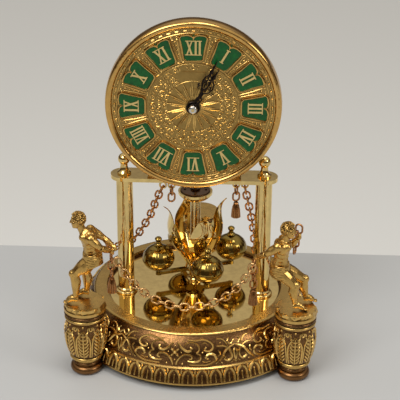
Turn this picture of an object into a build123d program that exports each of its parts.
from build123d import *
import math
import os

# Anniversary clock: a torsion-pendulum mantel clock on a round cast base with three pedestals.
# Frame: +Z up, -Y to the front, origin on the table under the centre of the round base. Millimetres.

# ---- driving dimensions -------------------------------------------------------------------------
CLEAR = 0.05                # radial running clearance of a shaft or stud in its hole
SEAT = 0.05                 # gap left between two cast faces that meet

MIRROR_RADIUS = 68.0        # visible edge of the polished base plate
PLATE_TOP = 37.7            # top face of the base plate
PLATE_THICK = 3.0
RING_TOP = 41.4             # top of the raised ring round the base plate
RING_RADIUS = 80.0
BAND_RADIUS = 90.5          # foot of the relief band
BORDER_TOP = 17.5
LIP_RADIUS = 95.9           # outermost edge of the base casting
LIP_BOTTOM = 5.0
WALL = 2.4                  # wall of the hollow base casting

PEDESTAL_RADIUS = 104.5     # pedestal axes from the centre of the base
PEDESTAL_ANGLES = {"left": 220.0, "right": 320.0, "rear": 90.0}
PEDESTAL_TOP = 56.0
PEDESTAL_BODY = 15.3
LEDGE_TOP = 60.0
FOOT_RADIUS = 12.5
FOOT_HEIGHT = 7.0
STUD_RADIUS = 2.0

PILLAR_X = 54.0
PILLAR_Y = -9.0
PILLAR_RADIUS = 6.45
PILLAR_TOP = 138.0
PLATFORM_THICK = 3.0
PLATFORM_END = 10.5
PLATFORM_TOP = PILLAR_TOP + PLATFORM_THICK
BALL_RADIUS = 4.65          # ball of each platform finial

BOB_Z = 62.0
BOB_RADIUS = 13.2
BOB_INNER = 17.8            # from the pendulum's axis to the near side of a bob
BOB_CIRCLE = BOB_INNER + BOB_RADIUS         # circle on which the four bobs sit
BOB_HALF_HEIGHT = 11.0
BOB_TURN = 21.0             # azimuth of the first bob
TULIP_WALL = 0.9
TULIP_TOP = 106.5
STEM_RADIUS = 4.0           # tube between the petal cup's floor and the crown cup

DIAL_RADIUS = 65.5
DIAL_SUNK = 2.0             # how far the bezel sits down into a notch in the platform
DIAL_Z = PLATFORM_TOP - DIAL_SUNK + DIAL_RADIUS     # height of the dial's centre
DIAL_BACK = -16.0           # rear face of the bezel ring
BEZEL_DEPTH = 15.2
BEZEL_WIDTH = 5.0           # how far the bezel covers the dial from its outer edge
DIAL_RECESS = 3.5           # dial plate's back behind the bezel's front
NUMERAL_INNER = 35.5        # the twelve enamel plaques lie between these radii
NUMERAL_OUTER = 55.0
MINUTE_ANGLE = 25.0         # rest position of the hands, clockwise from XII
HOUR_ANGLE = 32.1
MINUTE_REACH = 42.0
HOUR_REACH = 36.0

FRONT_PLATE = -12.0         # front face of the movement's front plate
PLATE_GAP = 16.0            # space between the movement's plates
MOVEMENT_PLATE = 2.0        # thickness of each movement plate
MOVEMENT_HALF = 36.0
MOVEMENT_TOP = DIAL_Z + 33.5
INNER = FRONT_PLATE + MOVEMENT_PLATE        # inner face of the front plate
REAR_INNER = INNER + PLATE_GAP              # inner face of the back plate
REAR_OUTER = REAR_INNER + MOVEMENT_PLATE
POST_X = 31.0
POST_Z = (PLATFORM_TOP + 7.0, MOVEMENT_TOP - 6.0)
PENDULUM_Y = REAR_OUTER + 5.7               # axis on which the pendulum turns
PIVOT = 0.6                 # radius of an arbor's pivots
ARBOR = 1.0
BARREL_ARBOR = 2.5
CENTRE_ARBOR = 1.2

LINK_LENGTH = 8.8
LINK_WIDTH = 6.6
LINK_WIRE = 0.72            # radius of the chain's wire
LINK_PITCH = 5.75

os.makedirs("parts", exist_ok=True)


# ---- helpers ------------------------------------------------------------------------------------
def save(name, *shapes):
    solids = [solid for shape in shapes for solid in shape.solids()]
    export_step(solids[0] if len(solids) == 1 else Compound(children=solids), f"parts/{name}.step")


def turned(start, *steps):
    """Turned piece about Z. A step is a corner (r, z), or a pair of points for an arc through the first."""
    here, edges = start, []
    for step in (*steps, start):
        if isinstance(step[0], tuple):
            edges.append(ThreePointArc(*[(r, 0, z) for r, z in (here, *step)]))
            here = step[1]
        elif step != here:
            edges.append(Line((here[0], 0, here[1]), (step[0], 0, step[1])))
            here = step
    return revolve(make_face(edges), Axis.Z)


def dome(radius, low, rise):
    """Arc step of a turned outline: a shallow cap from (radius, low) to the axis."""
    ball = (radius**2 + rise**2) / (2 * rise)
    half = math.asin(radius / ball) / 2
    return (ball * math.sin(half), low + rise - ball + ball * math.cos(half)), (0, low + rise)


def rod(radius, low, high, x=0.0, y=0.0):
    """Upright cylinder between two heights."""
    return Pos(x, y, low) * Cylinder(radius, high - low, align=(Align.CENTER, Align.CENTER, Align.MIN))


def block(x, y, z):
    """Box between three pairs of limits."""
    middle = [(a + b) / 2 for a, b in (x, y, z)]
    return Pos(*middle) * Box(x[1] - x[0], y[1] - y[0], z[1] - z[0])


def facing(shape, x, z, rear):
    """Stand a piece modelled flat on XY upright, its back at y = rear and its top towards the front."""
    return Location((x, rear, z), (90, 0, 0)) * shape


def shaft(radius, rear, front, x, z):
    """Arbor or stud along Y, from y = rear forward to y = front."""
    return facing(rod(radius, 0, rear - front), x, z, rear)


def polar(radius, degrees):
    return (radius * math.cos(math.radians(degrees)), radius * math.sin(math.radians(degrees)))


def capsule(a, b, ra, rb):
    """Tapered limb with round ends."""
    a, b = Vector(*a), Vector(*b)
    limb = Plane(a, z_dir=b - a) * Cone(
        ra, rb, (b - a).length, align=(Align.CENTER, Align.CENTER, Align.MIN)
    ) if abs(ra - rb) > 0.01 else Plane(a, z_dir=b - a) * rod(ra, 0, (b - a).length)
    return limb + Pos(*a) * Sphere(ra) + Pos(*b) * Sphere(rb)


def hexagon(across, low, high, bore):
    blank = extrude(RegularPolygon(across / math.sqrt(3), 6), high - low)
    return Pos(0, 0, low) * blank - rod(bore, low, high)


# ---- base ---------------------------------------------------------------------------------------
PLATE_BOTTOM = PLATE_TOP - PLATE_THICK
LEDGE_BOTTOM = PLATE_BOTTOM - 3.0
PLATE_SEAT = MIRROR_RADIUS + 0.5
pedestal_centres = {side: polar(PEDESTAL_RADIUS, angle) for side, angle in PEDESTAL_ANGLES.items()}
PEDESTAL_SCREW_Z = 26.0
SCREW_RING = MIRROR_RADIUS - 4.0
base_screw_spots = [polar(SCREW_RING, angle) for angle in (30.0, 150.0, 270.0)]


def casting_outside(grow=0.0):
    """Steps of the base casting's outer face, from the raised ring down to the lip."""
    return (
        (PLATE_SEAT + 2.0, RING_TOP + grow), (RING_RADIUS - 1.5 + grow, RING_TOP + grow),
        ((RING_RADIUS + grow, RING_TOP - 0.4 + grow), (RING_RADIUS + 1.0 + grow, RING_TOP - 1.8)),
        ((87.6 + grow, 31.0), (BAND_RADIUS + grow, BORDER_TOP + 1.0)),
        (BAND_RADIUS + 1.6 + grow, BORDER_TOP + grow),
        ((BAND_RADIUS + 3.0 + grow, 12.0), (LIP_RADIUS + grow, LIP_BOTTOM + 1.5)),
        (LIP_RADIUS + grow, LIP_BOTTOM - grow),
    )


def radial_rod(radius, near, far, angle, z):
    """Cylinder lying along a radius of the base."""
    return Rot(0, 0, angle) * Pos(near, 0, z) * Rot(0, 90, 0) * rod(radius, 0, far - near)


casting = turned(
    (MIRROR_RADIUS - 8.0, LEDGE_BOTTOM), (MIRROR_RADIUS - 8.0, PLATE_BOTTOM), (PLATE_SEAT, PLATE_BOTTOM),
    (PLATE_SEAT, PLATE_TOP + 0.6), *casting_outside(),
    (LIP_RADIUS - WALL, LIP_BOTTOM), ((BAND_RADIUS + 0.7, 11.0), (BAND_RADIUS - 1.4, BORDER_TOP - 0.8)),
    ((87.6 - WALL, 30.0), (RING_RADIUS - 2.4, RING_TOP - 4.0)), (PLATE_SEAT + 4.0, RING_TOP - 4.0),
    (PLATE_SEAT + 4.0, LEDGE_BOTTOM),
)
for angle in PEDESTAL_ANGLES.values():
    casting -= radial_rod(1.5 + CLEAR, 70.0, 100.0, angle, PEDESTAL_SCREW_Z)
for x, y in base_screw_spots:
    casting -= rod(1.5 + CLEAR, 0, PLATE_BOTTOM + 1, x, y)
for x, y in pedestal_centres.values():
    casting -= rod(FOOT_RADIUS + SEAT, 0, FOOT_HEIGHT + SEAT, x, y)
save("base_casting", casting)

plate = rod(PLATE_SEAT - SEAT, PLATE_BOTTOM, PLATE_TOP)
for side in (-1, 1):
    plate -= rod(STUD_RADIUS + CLEAR, 0, 60, side * PILLAR_X, PILLAR_Y)
for x, y in base_screw_spots:
    plate -= rod(1.5 + CLEAR, 0, PLATE_TOP - 1.0, x, y)
plate -= rod(1.2 + CLEAR, 0, 60, 0, PENDULUM_Y)
save("base_plate", plate)

screws = [
    rod(1.5, LEDGE_BOTTOM - 1.0, PLATE_TOP - 1.1, x, y) + rod(3.0, LEDGE_BOTTOM - 2.0, LEDGE_BOTTOM, x, y)
    for x, y in base_screw_spots
]
for angle in PEDESTAL_ANGLES.values():
    screw = radial_rod(1.5, 84.0, 98.0, angle, PEDESTAL_SCREW_Z)
    screws.append(screw + radial_rod(3.0, 82.0, 84.2, angle, PEDESTAL_SCREW_Z))
save("base_screws", *screws)

# ---- pedestals and feet -------------------------------------------------------------------------
column = turned(
    (0, FOOT_HEIGHT), (9.0, FOOT_HEIGHT), ((10.4, 8.4), (9.2, 10.0)), (10.2, 10.6), (10.2, 12.2),
    ((12.8, 13.8), (11.0, 15.4)), (12.4, 16.2),
    ((PEDESTAL_BODY + 0.5, 33.0), (PEDESTAL_BODY - 1.3, PEDESTAL_TOP - 9.6)),
    (PEDESTAL_BODY - 1.3, PEDESTAL_TOP - 9.0),
    ((PEDESTAL_BODY + 0.5, PEDESTAL_TOP - 7.9), (PEDESTAL_BODY - 0.7, PEDESTAL_TOP - 6.6)),
    (PEDESTAL_BODY - 0.7, PEDESTAL_TOP - 6.0),
    ((PEDESTAL_BODY + 0.6, PEDESTAL_TOP - 4.9), (PEDESTAL_BODY - 0.3, PEDESTAL_TOP - 3.6)),
    (PEDESTAL_BODY - 0.3, PEDESTAL_TOP - 3.0), (PEDESTAL_BODY + 0.7, PEDESTAL_TOP - 2.4),
    (PEDESTAL_BODY + 0.7, PEDESTAL_TOP), (0, PEDESTAL_TOP),
)
column -= rod(STUD_RADIUS + CLEAR, 0, FOOT_HEIGHT + 6.0)
envelope = turned((0, 0), (0, RING_TOP + SEAT), *casting_outside(SEAT), (LIP_RADIUS + SEAT, 0))
ledge_outline = [polar(radius, 36.0 * k) for k, radius in enumerate(
    (16.8, 15.6, 16.4, 15.4, 15.8, 14.8, 15.6, 15.9, 15.2, 16.5)
)]
ledge_top = [(0.93 * x, 0.93 * y) for x, y in ledge_outline]
ledge = loft([
    Pos(0, 0, PEDESTAL_TOP) * make_face(Polyline(*ledge_outline, close=True)),
    Pos(0, 0, LEDGE_TOP) * make_face(Polyline(*ledge_top, close=True)),
])
for side, (x, y) in pedestal_centres.items():
    standing = Pos(x, y, 0) * (column if side == "rear" else column + ledge)
    standing -= envelope
    standing -= radial_rod(1.5 + CLEAR, 80.0, 98.2, PEDESTAL_ANGLES[side], PEDESTAL_SCREW_Z)
    save(f"pedestal_{side}", standing)

FOOT_FLAT = FOOT_RADIUS - FOOT_HEIGHT / 2
foot = turned(
    (0, 0), (FOOT_FLAT, 0), ((FOOT_RADIUS, FOOT_HEIGHT / 2), (FOOT_FLAT, FOOT_HEIGHT)),
    (STUD_RADIUS, FOOT_HEIGHT), (STUD_RADIUS, FOOT_HEIGHT + 5.5), (0, FOOT_HEIGHT + 5.5),
)
save("feet", *[Pos(x, y, 0) * foot for x, y in pedestal_centres.values()])

# ---- figures ------------------------------------------------------------------------------------
# Joints of each figure from the middle of its ledge: (outwards, y, up). Near limbs are the front ones.
figures = {
    "left": dict(
        head=(3.1, 1.2, 67.6), neck=(0.2, 1.2, 60.0), chest=(-4.6, 1.2, 53.5), waist=(-6.0, 1.2, 45.0),
        hips=(-6.9, 1.2, 37.6),
        near=((6.7, -4.3, 25.0), (6.0, -4.6, 6.5), (12.6, -4.8, 2.2)),
        far=((-0.6, 6.7, 21.5), (-1.0, 6.7, 6.2), (5.5, 7.2, 2.2)),
        near_arm=((-6.9, -5.5, 55.0), (-14.2, -5.6, 48.2), (-21.0, 3.2, 41.0)),
        far_arm=((-5.1, 8.0, 56.5), (-15.0, 9.2, 49.0), (-22.8, 5.7, 43.5)),
    ),
    "right": dict(
        head=(-7.7, 1.2, 63.4), neck=(-10.2, 1.2, 56.0), chest=(-12.0, 1.2, 49.6), waist=(-12.9, 1.2, 40.6),
        hips=(-13.2, 1.2, 32.4),
        near=((-1.8, -4.8, 20.4), (-0.9, -5.3, 6.1), (5.6, -5.8, 2.2)),
        far=((5.4, 6.7, 20.0), (7.4, 6.7, 6.0), (13.4, 7.2, 2.2)),
        near_arm=((-15.6, -5.5, 52.4), (-24.0, -5.0, 46.4), (-30.5, 3.2, 39.5)),
        far_arm=((-11.2, 8.0, 52.6), (-5.2, 11.0, 45.6), (0.2, 8.2, 54.4)),
    ),
}


def on_ledge(side, point):
    """Point of a figure, given outwards from, beyond and above the middle of its ledge."""
    x, y = pedestal_centres[side]
    out = -1 if side == "left" else 1
    return (x + out * point[0], y + point[1], LEDGE_TOP + point[2])


for side, pose in figures.items():
    trunk = [on_ledge(side, pose[name]) for name in ("hips", "waist", "chest", "neck", "head")]
    pelvis, waist, chest, neck, head = trunk
    body = capsule(pelvis, waist, 6.6, 5.6)
    body += capsule(waist, chest, 5.6, 7.0)
    body += capsule(chest, neck, 5.4, 3.1)
    body += capsule(neck, head, 3.1, 3.2)
    body += Pos(*head) * scale(Sphere(1), by=(6.4, 6.0, 7.4))
    for offset, name in ((-3.2, "near"), (3.2, "far")):
        knee, ankle, toe = (on_ledge(side, point) for point in pose[name])
        hip = on_ledge(side, (pose["hips"][0], pose["hips"][1] + offset, pose["hips"][2] - 0.5))
        body += capsule(hip, knee, 5.3, 4.0)
        body += capsule(knee, ankle, 4.0, 2.5)
        body += capsule(ankle, toe, 2.6, 1.9)
        shoulder, elbow, hand = (on_ledge(side, point) for point in pose[f"{name}_arm"])
        body += capsule(shoulder, elbow, 3.3, 2.5)
        body += capsule(elbow, hand, 2.5, 1.8)
        body += capsule(chest, shoulder, 4.8, 3.3)
    body -= block((-LIP_RADIUS * 2, LIP_RADIUS * 2), (-LIP_RADIUS * 2, 0), (0, LEDGE_TOP + SEAT))
    save(f"figure_{side}", body)

# ---- pillars and platform -----------------------------------------------------------------------
NUT_BOTTOM = PLATE_BOTTOM - 3.5
pillar = turned(
    (0, NUT_BOTTOM - 0.8), (STUD_RADIUS, NUT_BOTTOM - 0.8), (STUD_RADIUS, PLATE_TOP), (8.4, PLATE_TOP),
    ((8.9, PLATE_TOP + 0.9), (8.4, PLATE_TOP + 1.8)), (7.3, PLATE_TOP + 2.2),
    (7.3, PLATE_TOP + 3.6), (PILLAR_RADIUS, PLATE_TOP + 4.4), (PILLAR_RADIUS, PILLAR_TOP),
    (STUD_RADIUS, PILLAR_TOP), (STUD_RADIUS, PLATFORM_TOP + 5.5), (0, PLATFORM_TOP + 5.5),
)
for side, x in (("left", -PILLAR_X), ("right", PILLAR_X)):
    save(f"pillar_{side}", Pos(x, PILLAR_Y, 0) * pillar)
nut = hexagon(7.0, NUT_BOTTOM, PLATE_BOTTOM, STUD_RADIUS + CLEAR)
save("pillar_nuts", *[Pos(x, PILLAR_Y, 0) * nut for x in (-PILLAR_X, PILLAR_X)])

BALL_Z = PLATFORM_TOP + 11.9
SHOULDER_Z = BALL_Z - math.sqrt(BALL_RADIUS**2 - 2.9**2)
finial = turned(
    (0, PLATFORM_TOP + 6.0), (STUD_RADIUS + CLEAR, PLATFORM_TOP + 6.0), (STUD_RADIUS + CLEAR, PLATFORM_TOP),
    (5.4, PLATFORM_TOP), (5.4, PLATFORM_TOP + 1.2), ((3.4, PLATFORM_TOP + 4.0), (2.9, SHOULDER_Z)),
    ((BALL_RADIUS, BALL_Z), (0, BALL_Z + BALL_RADIUS)),
)
save("finials", *[Pos(x, PILLAR_Y, 0) * finial for x in (-PILLAR_X, PILLAR_X)])

HOOK_BAR = 4.6              # half length of the bar under each hook
HOOK_RINGS = 3.3            # each bar carries two rings this far from its middle
hook_spots = ((-20.4, -15.0), (36.0, -11.0))
platform_face = Pos(0, PILLAR_Y) * SlotCenterToCenter(2 * PILLAR_X, 2 * PLATFORM_END)
middle = (PILLAR_Y - PLATFORM_END + PENDULUM_Y + 8.0) / 2
depth = PENDULUM_Y + 8.0 - PILLAR_Y + PLATFORM_END
platform_face += Pos(0, middle) * RectangleRounded(2 * MOVEMENT_HALF + 4.0, depth, 6.0)
platform = Pos(0, 0, PILLAR_TOP) * extrude(platform_face, PLATFORM_THICK)
platform -= rod(5.0, PILLAR_TOP - 1, PLATFORM_TOP + 1, 0, PENDULUM_Y)
for side in (-1, 1):
    platform -= rod(STUD_RADIUS + CLEAR, PILLAR_TOP - 1, PLATFORM_TOP + 1, side * PILLAR_X, PILLAR_Y)
    platform -= rod(1.5 + CLEAR, PILLAR_TOP - 1, PLATFORM_TOP + 1, side * POST_X, INNER + PLATE_GAP / 2)
platform -= shaft(DIAL_RADIUS + SEAT, DIAL_BACK + SEAT, DIAL_BACK - BEZEL_DEPTH, 0, DIAL_Z)
for x, y in hook_spots:
    platform -= rod(0.9 + CLEAR, PILLAR_TOP - 1, PLATFORM_TOP - 0.8, x, y)
save("platform", platform)

RING_Z = PILLAR_TOP - 3.8
hook = rod(0.9, PILLAR_TOP - 1.0, PLATFORM_TOP - 1.0)
hook += block((-HOOK_BAR, HOOK_BAR), (-1.3, 1.3), (PILLAR_TOP - 1.6, PILLAR_TOP))
for side in (-1, 1):
    hook += Pos(side * HOOK_RINGS, 0, RING_Z) * Rot(90, 0, 0) * Torus(2.4, 0.7)
save("chain_hooks", *[Pos(x, y, 0) * hook for x, y in hook_spots])

cup = turned(
    (0, PLATE_TOP), (7.5, PLATE_TOP), (7.5, PLATE_TOP + 0.9),
    ((5.4, PLATE_TOP + 1.6), (4.8, PLATE_TOP + 4.4)), (3.8, PLATE_TOP + 4.4), (3.8, PLATE_TOP + 1.6),
    (0, PLATE_TOP + 1.6),
) + rod(1.2, PLATE_BOTTOM, PLATE_TOP)
save("centre_cup", Pos(0, PENDULUM_Y, 0) * cup)


# ---- wheels -------------------------------------------------------------------------------------
def toothed(teeth, module, thick, phase, bore=0.0):
    """Spur wheel with slender straight-sided teeth, one of them centred on the angle phase."""
    pitch_radius = teeth * module / 2
    step = 360.0 / teeth
    tip, root = pitch_radius + 0.9 * module, pitch_radius - 1.25 * module
    outline = []
    for k in range(teeth):
        for share, radius in ((-0.29, root), (-0.1, tip), (0.1, tip), (0.29, root)):
            outline.append(polar(radius, phase + (k + share) * step))
    wheel = extrude(make_face(Polyline(*outline, close=True)), thick)
    return wheel - rod(bore, -1, thick + 1) if bore else wheel


def crossed(wheel, outer, inner, arms, width, thick):
    """Cut the windows between a wheel's arms."""
    windows = rod(outer, -1, thick + 1) - rod(inner, -1, thick + 1)
    for k in range(arms):
        arm = block((0, outer + 1), (-width / 2, width / 2), (-2, thick + 2))
        windows -= Rot(0, 0, 360.0 * k / arms) * arm
    return wheel - windows


def beyond(start, distance, degrees):
    dx, dz = polar(distance, degrees)
    return (start[0] + dx, start[1] + dz)


def meeting(a, b, ra, rb, side):
    """Point at distance ra from a and rb from b, on the given side of the line from a to b."""
    gap = math.dist(a, b)
    along = (gap**2 + ra**2 - rb**2) / (2 * gap)
    off = side * math.sqrt(ra**2 - along**2)
    ux, uz = (b[0] - a[0]) / gap, (b[1] - a[1]) / gap
    return (a[0] + along * ux + off * uz, a[1] + along * uz - off * ux)


def mesh_phase(driver, driver_teeth, driver_phase, follower, follower_teeth):
    """Phase that puts a gap of the follower on a tooth of the driver along the line of centres."""
    line = math.degrees(math.atan2(follower[1] - driver[1], follower[0] - driver[0]))
    share = (line - driver_phase) * driver_teeth / 360.0 % 1.0
    return line + 180.0 - (0.5 - share) * 360.0 / follower_teeth


# Teeth and modules, from the mainspring barrel to the escape wheel and on to the hands.
BARREL_TEETH, BARREL_MODULE = 96, 0.4
SECOND_TEETH, SECOND_MODULE = 84, 0.33
INTERMEDIATE_TEETH, INTERMEDIATE_MODULE = 84, 0.33
CENTRE_TEETH, CENTRE_MODULE = 48, 0.4
THIRD_TEETH, THIRD_MODULE = 36, 0.4
PINION = 12
ESCAPE_TEETH, ESCAPE_RADIUS = 20, 8.5
CANNON_MODULE = 0.5
MINUTE_TEETH = 36
HOUR_PINION, HOUR_TEETH = 10, 40
HOUR_MODULE = CANNON_MODULE * (PINION + MINUTE_TEETH) / (HOUR_PINION + HOUR_TEETH)

centre_at = (0.0, DIAL_Z)
barrel_at = (-13.0, DIAL_Z - 40.5)
second_at = beyond(barrel_at, (BARREL_TEETH + PINION) * BARREL_MODULE / 2, 30.0)
intermediate_at = meeting(
    second_at, centre_at, (SECOND_TEETH + PINION) * SECOND_MODULE / 2,
    (INTERMEDIATE_TEETH + PINION) * INTERMEDIATE_MODULE / 2, 1,
)
third_at = beyond(centre_at, (CENTRE_TEETH + PINION) * CENTRE_MODULE / 2, 130.0)
escape_rise = math.sqrt(((THIRD_TEETH + PINION) * THIRD_MODULE / 2) ** 2 - third_at[0] ** 2)
escape_at = (0.0, third_at[1] + escape_rise)
anchor_at = (0.0, escape_at[1] + ESCAPE_RADIUS + 3.5)
minute_at = beyond(centre_at, (PINION + MINUTE_TEETH) * CANNON_MODULE / 2, 240.0)

barrel_phase = 0.0
second_phase = mesh_phase(barrel_at, BARREL_TEETH, barrel_phase, second_at, PINION)
intermediate_phase = mesh_phase(second_at, SECOND_TEETH, second_phase, intermediate_at, PINION)
centre_phase = mesh_phase(intermediate_at, INTERMEDIATE_TEETH, intermediate_phase, centre_at, PINION)
third_phase = mesh_phase(centre_at, CENTRE_TEETH, centre_phase, third_at, PINION)
escape_phase = mesh_phase(third_at, THIRD_TEETH, third_phase, escape_at, PINION)
cannon_phase = centre_phase
minute_phase = mesh_phase(centre_at, PINION, cannon_phase, minute_at, MINUTE_TEETH)
hour_phase = mesh_phase(minute_at, HOUR_PINION, minute_phase, centre_at, HOUR_TEETH)


def arbor(at, front=FRONT_PLATE, rear=REAR_OUTER):
    """Arbor between the plates, with a thinner pivot in each plate."""
    x, z = at
    return shaft(ARBOR, REAR_INNER - 0.3, INNER + 0.3, x, z) + shaft(PIVOT, rear, front, x, z)


def wheel_at(at, offset, thick, wheel):
    """Place a wheel on its arbor: offset counts back from the front plate's inner face."""
    return facing(wheel, at[0], at[1], INNER + offset + thick)


def wheel_and_pinion(at, teeth, module, offset, pinion_module, pinion_offset, phase):
    wheel = toothed(teeth, module, 1.2, phase)
    rim = teeth * module / 2 - 2.2 * module
    wheel = crossed(wheel, rim - 0.8, 3.4, 4, 1.5, 1.2)
    pinion = toothed(PINION, pinion_module, 2.4, phase)
    return arbor(at) + wheel_at(at, offset, 1.2, wheel) + wheel_at(at, pinion_offset, 2.4, pinion)


BARREL_HEIGHT = 12.0
BARREL_DRUM = 17.4
RIM_THICK = 2.0
barrel = toothed(BARREL_TEETH, BARREL_MODULE, RIM_THICK, barrel_phase)
barrel += rod(BARREL_DRUM, 0, BARREL_HEIGHT)
barrel -= rod(BARREL_DRUM - 1.2, 1.0, BARREL_HEIGHT - 1.0)
barrel -= rod(BARREL_ARBOR + CLEAR, -1, BARREL_HEIGHT + 1)
save("barrel", wheel_at(barrel_at, 1.0, BARREL_HEIGHT, barrel))
spring = rod(BARREL_DRUM - 1.35, 1.2, BARREL_HEIGHT - 1.2) - rod(BARREL_ARBOR + 4.0, 0, BARREL_HEIGHT)
save("mainspring", wheel_at(barrel_at, 1.0, BARREL_HEIGHT, spring))

RATCHET_FACE = REAR_OUTER + 0.4
RATCHET_THICK = 1.6
RATCHET_TEETH = 16
RATCHET_RADIUS = 8.2
SQUARE = 3.4
SQUARE_LENGTH = 11.0
winding = shaft(BARREL_ARBOR, REAR_OUTER + 0.4 + RATCHET_THICK, FRONT_PLATE, *barrel_at)
square = block((-SQUARE / 2, SQUARE / 2), (-SQUARE / 2, SQUARE / 2), (0, SQUARE_LENGTH))
winding += facing(square, *barrel_at, RATCHET_FACE + RATCHET_THICK + SQUARE_LENGTH)
core = rod(BARREL_ARBOR + 2.4, 0, BARREL_HEIGHT - 3.0)
winding += facing(core, *barrel_at, INNER + BARREL_HEIGHT - 0.5)
save("winding_arbor", winding)
ratchet_outline = []
for k in range(RATCHET_TEETH):
    step = 360.0 / RATCHET_TEETH
    ratchet_outline += [polar(RATCHET_RADIUS - 1.3, k * step), polar(RATCHET_RADIUS, (k + 0.92) * step)]
ratchet = extrude(make_face(Polyline(*ratchet_outline, close=True)), RATCHET_THICK)
ratchet -= rod(BARREL_ARBOR + 0.01, -1, RATCHET_THICK + 1)
save("ratchet_wheel", facing(ratchet, *barrel_at, RATCHET_FACE + RATCHET_THICK))

CLICK_REACH = RATCHET_RADIUS + 0.15
click_at = beyond(barrel_at, 13.5, 155.0)
click_tip = beyond(barrel_at, CLICK_REACH, 118.0)
lever = Polyline(
    beyond(click_at, 2.2, 245.0), beyond(barrel_at, CLICK_REACH, 128.0), click_tip,
    beyond(barrel_at, CLICK_REACH + 1.6, 121.0), beyond(click_at, 2.2, 65.0), close=True
)
click = facing(extrude(make_face(lever), RATCHET_THICK), 0, 0, RATCHET_FACE + RATCHET_THICK)
click += shaft(2.2, RATCHET_FACE + RATCHET_THICK, RATCHET_FACE, *click_at)
click += shaft(1.0, RATCHET_FACE + RATCHET_THICK + 0.8, REAR_INNER + 0.4, *click_at)
click += shaft(1.8, RATCHET_FACE + RATCHET_THICK + 1.4, RATCHET_FACE + RATCHET_THICK, *click_at)
save("click", click)

save("second_wheel", wheel_and_pinion(
    second_at, SECOND_TEETH, SECOND_MODULE, 14.1, BARREL_MODULE, 10.8, second_phase
))
save("intermediate_wheel", wheel_and_pinion(
    intermediate_at, INTERMEDIATE_TEETH, INTERMEDIATE_MODULE, 3.0, SECOND_MODULE, 13.4, intermediate_phase
))
save("third_wheel", wheel_and_pinion(
    third_at, THIRD_TEETH, THIRD_MODULE, 9.0, CENTRE_MODULE, 5.4, third_phase
))

# The centre arbor carries the cannon pinion and both hands through the dial.
HAND_THICK = 0.6
DIAL_PLATE_BACK = DIAL_BACK - BEZEL_DEPTH + DIAL_RECESS
DIAL_PLATE_THICK = 1.2
DIAL_FACE = DIAL_PLATE_BACK - DIAL_PLATE_THICK
ENAMEL_THICK = 0.9
HOUR_HAND_BACK = DIAL_FACE - 2.7
MINUTE_HAND_BACK = HOUR_HAND_BACK - 2.1
ARBOR_FRONT = MINUTE_HAND_BACK - 3.4
CANNON_RADIUS = 2.0
HOUR_PIPE = 3.2

centre = wheel_at(centre_at, 6.0, 1.2, crossed(
    toothed(CENTRE_TEETH, CENTRE_MODULE, 1.2, centre_phase), 7.8, 3.2, 4, 1.5, 1.2
))
centre += wheel_at(centre_at, 2.4, 2.4, toothed(PINION, INTERMEDIATE_MODULE, 2.4, centre_phase))
centre += shaft(PIVOT, REAR_OUTER, INNER, *centre_at) + shaft(ARBOR, REAR_INNER - 0.3, INNER, *centre_at)
centre += shaft(CENTRE_ARBOR, INNER + 0.5, ARBOR_FRONT, *centre_at)
save("centre_wheel", centre)

cannon_length = FRONT_PLATE - 0.6 - MINUTE_HAND_BACK + HAND_THICK
cannon = toothed(PINION, CANNON_MODULE, 2.0, cannon_phase) + rod(CANNON_RADIUS, 0, cannon_length)
cannon -= rod(CENTRE_ARBOR + 0.01, -1, cannon_length + 1)
save("cannon_pinion", facing(cannon, *centre_at, FRONT_PLATE - 0.6))

MINUTE_PLACE = FRONT_PLATE - 1.0
minute_work = toothed(MINUTE_TEETH, CANNON_MODULE, 1.0, minute_phase)
minute_work += rod(1.9, 0, 5.0) + Pos(0, 0, 1.0) * toothed(HOUR_PINION, HOUR_MODULE, 3.0, minute_phase)
minute_work -= rod(ARBOR + CLEAR, -1, 6)
save("minute_wheel", facing(minute_work, *minute_at, MINUTE_PLACE))

HOUR_PLACE = FRONT_PLATE - 3.2
pipe_length = HOUR_PLACE - HOUR_HAND_BACK + HAND_THICK
hour_work = toothed(HOUR_TEETH, HOUR_MODULE, 1.0, hour_phase) + rod(HOUR_PIPE, 0, pipe_length)
hour_work -= rod(CANNON_RADIUS + CLEAR, -1, pipe_length + 1)
save("hour_wheel", facing(hour_work, *centre_at, HOUR_PLACE))

root = ESCAPE_RADIUS - 2.0
escape_outline = []
for k in range(ESCAPE_TEETH):
    step = 360.0 / ESCAPE_TEETH
    start = escape_phase + k * step
    for share, radius in ((-0.4, root), (0.1, root), (0.26, ESCAPE_RADIUS), (0.34, ESCAPE_RADIUS)):
        escape_outline.append(polar(radius, start + share * step))
escape = crossed(extrude(make_face(Polyline(*escape_outline, close=True)), 1.2), 5.3, 2.6, 4, 1.2, 1.2)
save("escape_wheel", arbor(escape_at) + wheel_at(escape_at, 12.0, 1.2, escape)
     + wheel_at(escape_at, 8.4, 2.4, toothed(PINION, THIRD_MODULE, 2.4, escape_phase)))

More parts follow.
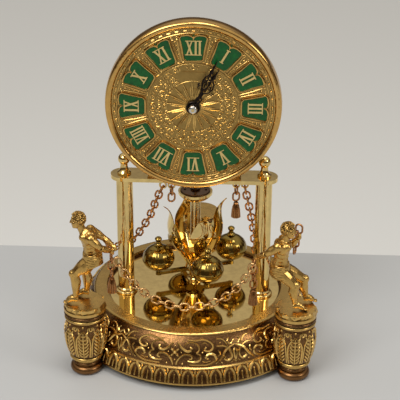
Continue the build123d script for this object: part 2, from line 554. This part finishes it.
# The anchor's pin rises behind the back plate into the fork on the suspension strip.
PIN_Y = PENDULUM_Y - 3.7
FORK_Z = anchor_at[1] + 5.6
PALLET_INNER = ESCAPE_RADIUS + 0.75
PALLET_OUTER = PALLET_INNER + 1.6
arch = rod(PALLET_OUTER, 0, 1.6) - rod(PALLET_INNER, -1, 3)
arch &= extrude(make_face(Polyline((0, 0), polar(30, 38), polar(60, 90), polar(30, 142), close=True)), 1.6)
anchor = wheel_at(escape_at, 11.8, 1.6, arch)
anchor += shaft(2.1, INNER + 13.4, INNER + 11.8, *anchor_at)
anchor += shaft(ARBOR, REAR_INNER - 0.3, INNER + 0.3, *anchor_at)
anchor += shaft(PIVOT, PIN_Y + 1.2, FRONT_PLATE, *anchor_at)
anchor += rod(0.5, anchor_at[1], FORK_Z + 2.2, 0, PIN_Y) + shaft(1.2, PIN_Y + 1.2, PIN_Y - 1.0, *anchor_at)
stem = (escape_at[1] + PALLET_INNER + 0.3, anchor_at[1])
anchor += block((-0.9, 0.9), (INNER + 11.8, INNER + 13.4), stem)
save("anchor", anchor)

# ---- movement plates ----------------------------------------------------------------------------
plate_height = MOVEMENT_TOP - PLATFORM_TOP
plate_outline = RectangleRounded(2 * MOVEMENT_HALF, plate_height, 3.0)
plate_blank = extrude(Pos(0, PLATFORM_TOP + plate_height / 2) * plate_outline, MOVEMENT_PLATE)
post_spots = [(side * POST_X, z) for z in POST_Z for side in (-1, 1)]
dial_post_spots = [(side * POST_X, DIAL_Z + rise) for rise in (-15.0, 18.0) for side in (-1, 1)]
pivot_spots = [second_at, intermediate_at, third_at, escape_at, anchor_at]

front_plate = facing(plate_blank, 0, 0, INNER)
back_plate = facing(plate_blank, 0, 0, REAR_OUTER)
for x, z in post_spots:
    front_plate -= shaft(1.5 + CLEAR, INNER + 1, FRONT_PLATE - 1, x, z)
    back_plate -= shaft(1.5 + CLEAR, REAR_OUTER + 1, REAR_INNER - 1, x, z)
for x, z in pivot_spots:
    front_plate -= shaft(PIVOT + CLEAR, INNER + 1, FRONT_PLATE - 1, x, z)
    back_plate -= shaft(PIVOT + CLEAR, REAR_OUTER + 1, REAR_INNER - 1, x, z)
for x, z in dial_post_spots:
    front_plate -= shaft(1.0 + CLEAR, INNER + 1, FRONT_PLATE - 1, x, z)
front_plate -= shaft(CENTRE_ARBOR + CLEAR, INNER + 1, FRONT_PLATE - 1, *centre_at)
back_plate -= shaft(PIVOT + CLEAR, REAR_OUTER + 1, REAR_INNER - 1, *centre_at)
front_plate -= shaft(BARREL_ARBOR + CLEAR, INNER + 1, FRONT_PLATE - 1, *barrel_at)
back_plate -= shaft(BARREL_ARBOR + CLEAR, REAR_OUTER + 1, REAR_INNER - 1, *barrel_at)
back_plate -= shaft(ARBOR + CLEAR, REAR_OUTER + 1, REAR_INNER - 1, *click_at)
front_plate += shaft(ARBOR, INNER, MINUTE_PLACE - 5.4, *minute_at)

saddle_screw_spots = [(side * 9.0, MOVEMENT_TOP - 8.0) for side in (-1, 1)]
for x, z in saddle_screw_spots:
    back_plate -= shaft(1.25 + CLEAR, REAR_OUTER + 1, REAR_INNER - 1, x, z)
save("front_plate", front_plate)
save("back_plate", back_plate)

posts = []
for x, z in post_spots:
    post = shaft(3.0, REAR_INNER, INNER, x, z) + shaft(1.5, REAR_OUTER + 2.2, FRONT_PLATE - 2.2, x, z)
    if z == POST_Z[0]:
        post -= rod(1.5 + CLEAR, 0, z + 1.0, x, INNER + PLATE_GAP / 2)
    posts.append(post)
save("plate_posts", *posts)
nuts = []
for x, z in post_spots:
    nuts.append(facing(hexagon(5.4, 0, 2.0, 1.5 + CLEAR), x, z, FRONT_PLATE))
    nuts.append(facing(hexagon(5.4, 0, 2.0, 1.5 + CLEAR), x, z, REAR_OUTER + 2.0))
save("plate_nuts", *nuts)
movement_screws = [
    rod(1.5, PILLAR_TOP - 1, POST_Z[0] + 0.5, x, INNER + PLATE_GAP / 2)
    + rod(3.2, PILLAR_TOP - 2.2, PILLAR_TOP, x, INNER + PLATE_GAP / 2) for x in (-POST_X, POST_X)
]
saddle_screws = [
    shaft(1.25, REAR_OUTER + 2.0, REAR_INNER + 0.3, x, z)
    + shaft(2.4, REAR_OUTER + 3.4, REAR_OUTER + 2.0, x, z) for x, z in saddle_screw_spots
]
save("movement_screws", *movement_screws, *saddle_screws)

# ---- dial and hands -----------------------------------------------------------------------------
plate_seat = BEZEL_DEPTH - DIAL_RECESS
lip = plate_seat + DIAL_PLATE_THICK + 0.1
bezel = turned(
    (DIAL_RADIUS - 2.6, 0), (DIAL_RADIUS - 1.0, 0),
    ((DIAL_RADIUS, 6.0), (DIAL_RADIUS - 0.5, BEZEL_DEPTH - 2.8)),
    ((DIAL_RADIUS - 1.2, BEZEL_DEPTH - 0.4), (DIAL_RADIUS - 2.8, BEZEL_DEPTH)),
    ((DIAL_RADIUS - 4.2, BEZEL_DEPTH - 0.5), (DIAL_RADIUS - BEZEL_WIDTH, lip + 0.6)),
    (DIAL_RADIUS - BEZEL_WIDTH, lip), (DIAL_RADIUS - 3.9, lip), (DIAL_RADIUS - 3.9, plate_seat - 1.6),
    (DIAL_RADIUS - 2.6, plate_seat - 2.6),
)
save("bezel_ring", facing(bezel, *centre_at, DIAL_BACK))

RELIEF = 0.5
dial = rod(DIAL_RADIUS - 4.0, 0, DIAL_PLATE_THICK)
dial += rod(NUMERAL_INNER - 1.5, 0, DIAL_PLATE_THICK + RELIEF) - rod(NUMERAL_INNER - 3.5, 0, 9)
dial += rod(14.0, 0, DIAL_PLATE_THICK + RELIEF) + rod(8.5, 0, DIAL_PLATE_THICK + 1.6 * RELIEF)
dial += block((-8.5, 8.5), (22.5, 27.0), (0, DIAL_PLATE_THICK + RELIEF))
dial -= rod(HOUR_PIPE + 0.6, -1, 9)
for x, z in dial_post_spots:
    dial -= Pos(x, z - DIAL_Z, 0) * rod(1.0 + CLEAR, -1, 0.7)
save("dial_plate", facing(dial, *centre_at, DIAL_PLATE_BACK))
save("dial_posts", *[
    shaft(2.4, FRONT_PLATE, DIAL_PLATE_BACK, x, z) + shaft(1.0, INNER + 0.6, DIAL_PLATE_BACK - 0.6, x, z)
    for x, z in dial_post_spots
])

half_outer = 10.2
half_inner = 6.9
notch = 1.5
plaque_edge = Polyline(
    (-half_inner, NUMERAL_INNER + notch), (-half_inner + notch, NUMERAL_INNER),
    (half_inner - notch, NUMERAL_INNER), (half_inner, NUMERAL_INNER + notch),
    (half_outer, NUMERAL_OUTER - notch), (half_outer - notch, NUMERAL_OUTER),
    (-half_outer + notch, NUMERAL_OUTER), (-half_outer, NUMERAL_OUTER - notch), close=True
)
plaque = Pos(0, 0, DIAL_PLATE_THICK) * extrude(make_face(plaque_edge), ENAMEL_THICK)
save("dial_enamel", *[
    facing(Rot(0, 0, -30.0 * hour) * plaque, *centre_at, DIAL_PLATE_BACK) for hour in range(12)
])

NUMERAL_HEIGHT = 11.0
STROKE = {"I": 3.0, "V": 6.4, "X": 6.4}


def slanted(x_low, x_high, wide):
    """Stroke of a Roman numeral from its foot to its head."""
    half = NUMERAL_HEIGHT / 2
    return make_face(Polyline(
        (x_low - wide / 2, -half), (x_low + wide / 2, -half),
        (x_high + wide / 2, half), (x_high - wide / 2, half), close=True
    ))


def numeral(text):
    """Roman numeral as one flat raised piece, centred, its letters joined by their serifs."""
    total = sum(STROKE[letter] for letter in text)
    pen, face = -total / 2, None
    for letter in text:
        wide = STROKE[letter]
        mid = pen + wide / 2
        if letter == "I":
            shape = slanted(mid, mid, 1.5)
        elif letter == "V":
            shape = slanted(mid, mid - wide / 2 + 1.2, 1.5) + slanted(mid, mid + wide / 2 - 1.2, 1.1)
        else:
            shape = slanted(mid + wide / 2 - 1.3, mid - wide / 2 + 1.3, 1.5)
            shape += slanted(mid - wide / 2 + 1.3, mid + wide / 2 - 1.3, 1.1)
        face = shape if face is None else face + shape
        pen += wide
    for end in (-1, 1):
        face += Pos(0, end * (NUMERAL_HEIGHT / 2 - 0.3)) * Rectangle(total, 0.7)
    width_limit = 2 * (half_inner + half_outer) / 2 - 5.0
    squeeze = min(1.0, width_limit / total)
    return scale(extrude(face, 0.5), by=(squeeze, 1, 1))


numerals = ("XII", "I", "II", "III", "IV", "V", "VI", "VII", "VIII", "IX", "X", "XI")
raised = Pos(0, (NUMERAL_INNER + NUMERAL_OUTER) / 2 + 0.4, DIAL_PLATE_THICK + ENAMEL_THICK)
save("dial_numerals", *[
    facing(Rot(0, 0, -30.0 * hour) * raised * numeral(text), *centre_at, DIAL_PLATE_BACK)
    for hour, text in enumerate(numerals)
])


def hand(reach, hub, bore, eye, eye_at):
    """Pierced hand pointing up: hub, slender stem, round eye and a pointed tip."""
    face = Circle(hub) + Pos(0, reach / 2 - 1.5) * Rectangle(1.5, reach - 3.0)
    face += Pos(0, hub + 2.2) * Circle(2.2)
    face += Pos(0, eye_at) * Circle(eye)
    face += Pos(0, eye_at) * Rectangle(2 * eye + 2.4, 1.6)
    face += make_face(Polyline((-1.7, reach - 9.0), (1.7, reach - 9.0), (0, reach), close=True))
    face -= Circle(bore)
    face -= Pos(0, hub + 2.2) * Circle(1.1)
    for k in (-1, 1):
        face -= Pos(k * eye * 0.45, eye_at) * Ellipse(eye * 0.26, eye * 0.55)
    return extrude(face, HAND_THICK)


hour_hand = hand(HOUR_REACH, HOUR_PIPE + 2.0, HOUR_PIPE + 0.01, 4.4, 22.0)
minute_hand = hand(MINUTE_REACH, CANNON_RADIUS + 2.0, CANNON_RADIUS + 0.01, 3.6, 25.0)
save("hour_hand", facing(Rot(0, 0, -HOUR_ANGLE) * hour_hand, *centre_at, HOUR_HAND_BACK))
save("minute_hand", facing(Rot(0, 0, -MINUTE_ANGLE) * minute_hand, *centre_at, MINUTE_HAND_BACK))
knob = turned(
    (CENTRE_ARBOR + 0.01, 0), (3.1, 0), (3.1, 0.7), ((2.9, 1.7), (1.8, 2.3)), (CENTRE_ARBOR + 0.01, 2.3)
)
save("hand_nut", facing(knob, *centre_at, MINUTE_HAND_BACK - HAND_THICK - 0.1))

# ---- suspension ---------------------------------------------------------------------------------
STRIP_RADIUS = 0.42
BLOCK_LOW = FORK_Z + 5.0
BLOCK_HIGH = BLOCK_LOW + 6.0
saddle = block((-11.5, 11.5), (REAR_OUTER, PENDULUM_Y + 4.0), (BLOCK_HIGH, BLOCK_HIGH + 2.4))
for side in (-1, 1):
    leg = sorted((side * 6.5, side * 11.5))
    saddle += block(leg, (REAR_OUTER, REAR_OUTER + 2.0), (MOVEMENT_TOP - 12.0, BLOCK_HIGH))
for x, z in saddle_screw_spots:
    saddle -= shaft(1.25 + CLEAR, REAR_OUTER + 3, REAR_OUTER - 1, x, z)
saddle -= rod(1.0 + CLEAR, 0, 300, 0, PENDULUM_Y)
save("suspension_saddle", saddle)
top_block = block((-3.0, 3.0), (PENDULUM_Y - 2.2, PENDULUM_Y + 2.2), (BLOCK_LOW, BLOCK_HIGH))
top_block += rod(1.0, BLOCK_HIGH, BLOCK_HIGH + 3.6, 0, PENDULUM_Y)
top_block -= rod(STRIP_RADIUS + 0.08, BLOCK_LOW - 1, BLOCK_LOW + 2.0, 0, PENDULUM_Y)
save("top_block", top_block)

BOTTOM_BLOCK = PILLAR_TOP - 8.0
strip = block((-0.4, 0.4), (PENDULUM_Y - 0.1, PENDULUM_Y + 0.1), (BOTTOM_BLOCK + 4.0, BLOCK_LOW + 1.6))
save("suspension_strip", strip)
fork = rod(2.0, FORK_Z - 1.0, FORK_Z + 1.0, 0, PENDULUM_Y) - rod(STRIP_RADIUS + 0.08, 0, 300, 0, PENDULUM_Y)
for side in (-1, 1):
    tine = sorted((side * 0.72, side * 1.5))
    fork += block(tine, (PIN_Y - 1.1, PENDULUM_Y - 0.7), (FORK_Z - 0.6, FORK_Z + 0.6))
save("fork", fork)

# ---- pendulum -----------------------------------------------------------------------------------
ROD_RADIUS = 1.2
CUP_FLOOR = 53.0            # inside floor of the petal cup
CROWN_LOW = 109.6
SPIDER_LOW = 46.5
SPIDER_HIGH = 49.0
rod_shape = turned(
    (0, PLATE_TOP + 3.0), (0.8, PLATE_TOP + 3.4), (ROD_RADIUS, PLATE_TOP + 6.0),
    (ROD_RADIUS, BOTTOM_BLOCK - 3.0), (2.2, BOTTOM_BLOCK - 2.0), (2.2, BOTTOM_BLOCK), (0, BOTTOM_BLOCK),
)
rod_shape += block((-2.4, 2.4), (-1.2, 1.2), (BOTTOM_BLOCK, BOTTOM_BLOCK + 5.0))
rod_shape -= block((-0.4, 0.4), (-0.1, 0.1), (BOTTOM_BLOCK + 4.0, BOTTOM_BLOCK + 9.0))
rod_shape += rod(STEM_RADIUS, CUP_FLOOR + SEAT, CROWN_LOW - SEAT)
save("pendulum_rod", Pos(0, PENDULUM_Y, 0) * rod_shape)

bob_turns = [BOB_TURN + 90.0 * k for k in range(4)]
spider = rod(7.0, SPIDER_LOW, SPIDER_HIGH)
for turn in bob_turns:
    arm = block((0, BOB_CIRCLE), (-1.8, 1.8), (SPIDER_LOW, SPIDER_HIGH))
    arm += rod(2.4, SPIDER_LOW, SPIDER_HIGH, BOB_CIRCLE)
    arm += rod(1.4, SPIDER_LOW, BOB_Z + BOB_HALF_HEIGHT + 2.4, BOB_CIRCLE)
    spider += Rot(0, 0, turn) * arm
spider -= rod(ROD_RADIUS + 0.01, 0, 100)
save("bob_arms", Pos(0, PENDULUM_Y, 0) * spider)

BORE = 1.41
flank = (0.72 * BOB_RADIUS, 0.69 * BOB_HALF_HEIGHT)
bob = Pos(BOB_CIRCLE, 0, BOB_Z) * turned(
    (BORE, -BOB_HALF_HEIGHT), ((flank[0], -flank[1]), (BOB_RADIUS, 0)),
    ((flank[0], flank[1]), (BORE, BOB_HALF_HEIGHT)),
)
bob_top = BOB_Z + BOB_HALF_HEIGHT
spool = turned(
    (BORE, bob_top + SEAT), (3.4, bob_top + SEAT), (3.4, bob_top + 0.9),
    ((1.9, bob_top + 2.9), (2.8, bob_top + 5.0)), (2.8, bob_top + 6.0), dome(2.8, bob_top + 6.0, 1.7),
    (0, bob_top + 2.6), (BORE, bob_top + 2.6),
)
for k, turn in enumerate(bob_turns):
    save(f"bob_{k + 1}", Pos(0, PENDULUM_Y, 0) * Rot(0, 0, turn) * bob)
save("bob_finials", *[
    Pos(0, PENDULUM_Y, 0) * Rot(0, 0, turn) * Pos(BOB_CIRCLE, 0, 0) * spool for turn in bob_turns
])

# Cup of four petals: a turned bell, cut by four round-bottomed slots between the petals.
cup_outer = [(7.0, 52.5), (15.7, 66.0), (22.4, 88.0), (21.2, 98.0), (26.6, TULIP_TOP)]
outside = Spline(*[(r, 0, z) for r, z in cup_outer])
inside = Spline(*[(r - TULIP_WALL, 0, z) for r, z in cup_outer])
bell = revolve(make_face([
    outside, inside, Line(outside @ 0, inside @ 0), Line(outside @ 1, inside @ 1)
]), Axis.Z)
bell += turned(
    (ROD_RADIUS + 0.01, SPIDER_HIGH), (8.0, SPIDER_HIGH), (7.0, 52.5), (7.0 - TULIP_WALL, CUP_FLOOR),
    (ROD_RADIUS + 0.01, CUP_FLOOR),
)
SLOT_LOW = 66.0
TIP_HALF = 0.8              # half width left at each petal's tip
mouth = cup_outer[-1][0]
slot_top = mouth * math.sin(math.radians(45) - TIP_HALF / mouth)
over = TULIP_TOP + 3.0
slot_face = make_face([
    ThreePointArc((-4.6, SLOT_LOW), (0, SLOT_LOW - 5.0), (4.6, SLOT_LOW)),
    ThreePointArc((4.6, SLOT_LOW), (8.6, 92.0), (slot_top, TULIP_TOP)),
    Line((slot_top, TULIP_TOP), (slot_top, over)), Line((slot_top, over), (-slot_top, over)),
    Line((-slot_top, over), (-slot_top, TULIP_TOP)),
    ThreePointArc((-slot_top, TULIP_TOP), (-8.6, 92.0), (-4.6, SLOT_LOW)),
])
slot_cutter = extrude(Plane.YZ * slot_face, 40.0)
for turn in bob_turns:
    bell -= Rot(0, 0, turn + 45.0) * slot_cutter
save("tulip_cup", Pos(0, PENDULUM_Y, 0) * bell)

CROWN_SEAT = CROWN_LOW + 5.8
CROWN_TOP = CROWN_LOW + 7.4
crown = turned(
    (ROD_RADIUS + 0.01, CROWN_LOW), (5.6, CROWN_LOW), ((10.4, CROWN_LOW + 1.9), (13.7, CROWN_LOW + 5.4)),
    (13.7, CROWN_TOP), (12.3, CROWN_TOP), (12.3, CROWN_SEAT), (ROD_RADIUS + 0.01, CROWN_SEAT),
)
save("crown_cup", Pos(0, PENDULUM_Y, 0) * crown)
DISC_LOW = CROWN_SEAT + SEAT
regulator = turned(
    (ROD_RADIUS + CLEAR, DISC_LOW), (11.4, DISC_LOW), ((11.9, DISC_LOW + 1.2), (11.4, DISC_LOW + 2.4)),
    (4.0, DISC_LOW + 2.8), (4.0, DISC_LOW + 4.4), (ROD_RADIUS + CLEAR, DISC_LOW + 4.4),
)
for angle in (0.0, 180.0):
    x, y = polar(8.4, angle)
    regulator += rod(0.9, DISC_LOW, DISC_LOW + 3.2, x, y)
save("regulator_disc", Pos(0, PENDULUM_Y, 0) * regulator)

# ---- chains -------------------------------------------------------------------------------------
bend = LINK_WIDTH / 2 - LINK_WIRE
half_straight = (LINK_LENGTH - LINK_WIDTH) / 2
link_end = revolve(Pos(0, bend, 0) * Rot(0, 90, 0) * Circle(LINK_WIRE), Axis.Z, -180)
link = Pos(half_straight, 0, 0) * link_end + Pos(-half_straight, 0, 0) * Rot(0, 0, 180) * link_end
for side in (-1, 1):
    link += Pos(-half_straight, side * bend, 0) * Rot(0, 90, 0) * rod(LINK_WIRE, 0, 2 * half_straight)


FRONT_VIEW = Vector(0.05, 0.9, -0.43)


def chain(points, quarter=0, from_start=False):
    """Links laid end to end along a smooth route, each turned a quarter from the one before."""
    route = Spline(*points)
    count = int(route.length // LINK_PITCH)
    spare = 0 if from_start else (route.length - count * LINK_PITCH) / 2
    links = []
    for k in range(count):
        place = spare + (k + 0.5) * LINK_PITCH
        at = route.position_at(place, position_mode=PositionMode.LENGTH)
        ahead = route.tangent_at(place, position_mode=PositionMode.LENGTH)
        across = ahead.cross(FRONT_VIEW).normalized()
        normal = across if (k + quarter) % 2 else ahead.cross(across)
        links.append(Plane(at, x_dir=ahead, z_dir=normal) * link)
    return links


def dropped(x, y, top, count):
    """Links that hang straight down from a point."""
    return [
        Pos(x, y, top - (k + 0.5) * LINK_PITCH) * Rot(0, 0, 90 * (k % 2) + 20) * Rot(0, 90, 0) * link
        for k in range(count)
    ]


HUNG = RING_Z - 1.4             # top of a chain whose first link hangs in a hook's ring
swag_route = [
    (-55.6, -66.0, 96.4), (-42.0, -63.5, 73.0), (-25.0, -59.5, 57.5), (-3.0, -58.0, 51.5),
    (20.0, -59.0, 58.0), (37.0, -62.0, 74.0), (47.0, -65.5, 94.0),
]
(left_x, left_y), (right_x, right_y) = hook_spots
left_route = [
    (left_x - HOOK_RINGS, left_y, HUNG), (-27.4, -13.0, 124.5), (-31.1, -9.0, 114.0), (-35.6, -4.0, 101.0),
    (-41.8, 0.2, 89.0), (-48.0, 3.4, 79.0), (-56.0, 2.6, 73.5), (-64.2, -5.0, 74.0), (-66.5, -18.0, 80.0),
    (-65.0, -34.0, 90.0), (-61.0, -50.0, 100.5),
]
right_route = [
    (right_x + HOOK_RINGS, right_y, HUNG), (42.0, -8.0, 118.5), (44.5, -4.0, 105.0), (46.4, 0.0, 92.5),
    (47.6, 3.0, 81.0), (49.0, 5.0, 69.5), (55.0, 4.6, 62.0), (64.0, -2.0, 61.0), (67.5, -13.0, 66.0),
    (67.5, -30.0, 80.0), (66.5, -50.0, 97.0),
]
face_links = [
    Pos(x, -51.0, z) * Rot(0, 0, turn) * Rot(0, 90, 0) * link
    for x, z, turn in ((80.6, 117.4, 70), (79.3, 111.8, -20), (78.4, 106.1, 70), (78.0, 100.4, -20))
]
save("swag_chain", *chain(swag_route))
save("side_chains", *chain(left_route, 1, True), *chain(right_route, 1, True), *face_links)

DROPS = (
    (-60.0, -58.0, 95.0, 3, True), (47.6, -57.0, 93.0, 4, True),
    (left_x + HOOK_RINGS, left_y, HUNG, 2, False), (right_x - HOOK_RINGS, right_y, HUNG, 2, True),
)
TASSEL_DROP = 13.0
hanging = []
for x, y, top, count, has_tassel in DROPS:
    hanging += dropped(x, y, top, count)
    if has_tassel:
        low = top - count * LINK_PITCH - 1.6
        hanging.append(Pos(x, y, 0) * turned(
            (0, low), (1.3, low), (1.3, low - 1.2), ((2.1, low - 3.4), (2.9, low - 7.0)),
            (3.3, low - TASSEL_DROP), (0, low - TASSEL_DROP),
        ))
save("tassels", *hanging)
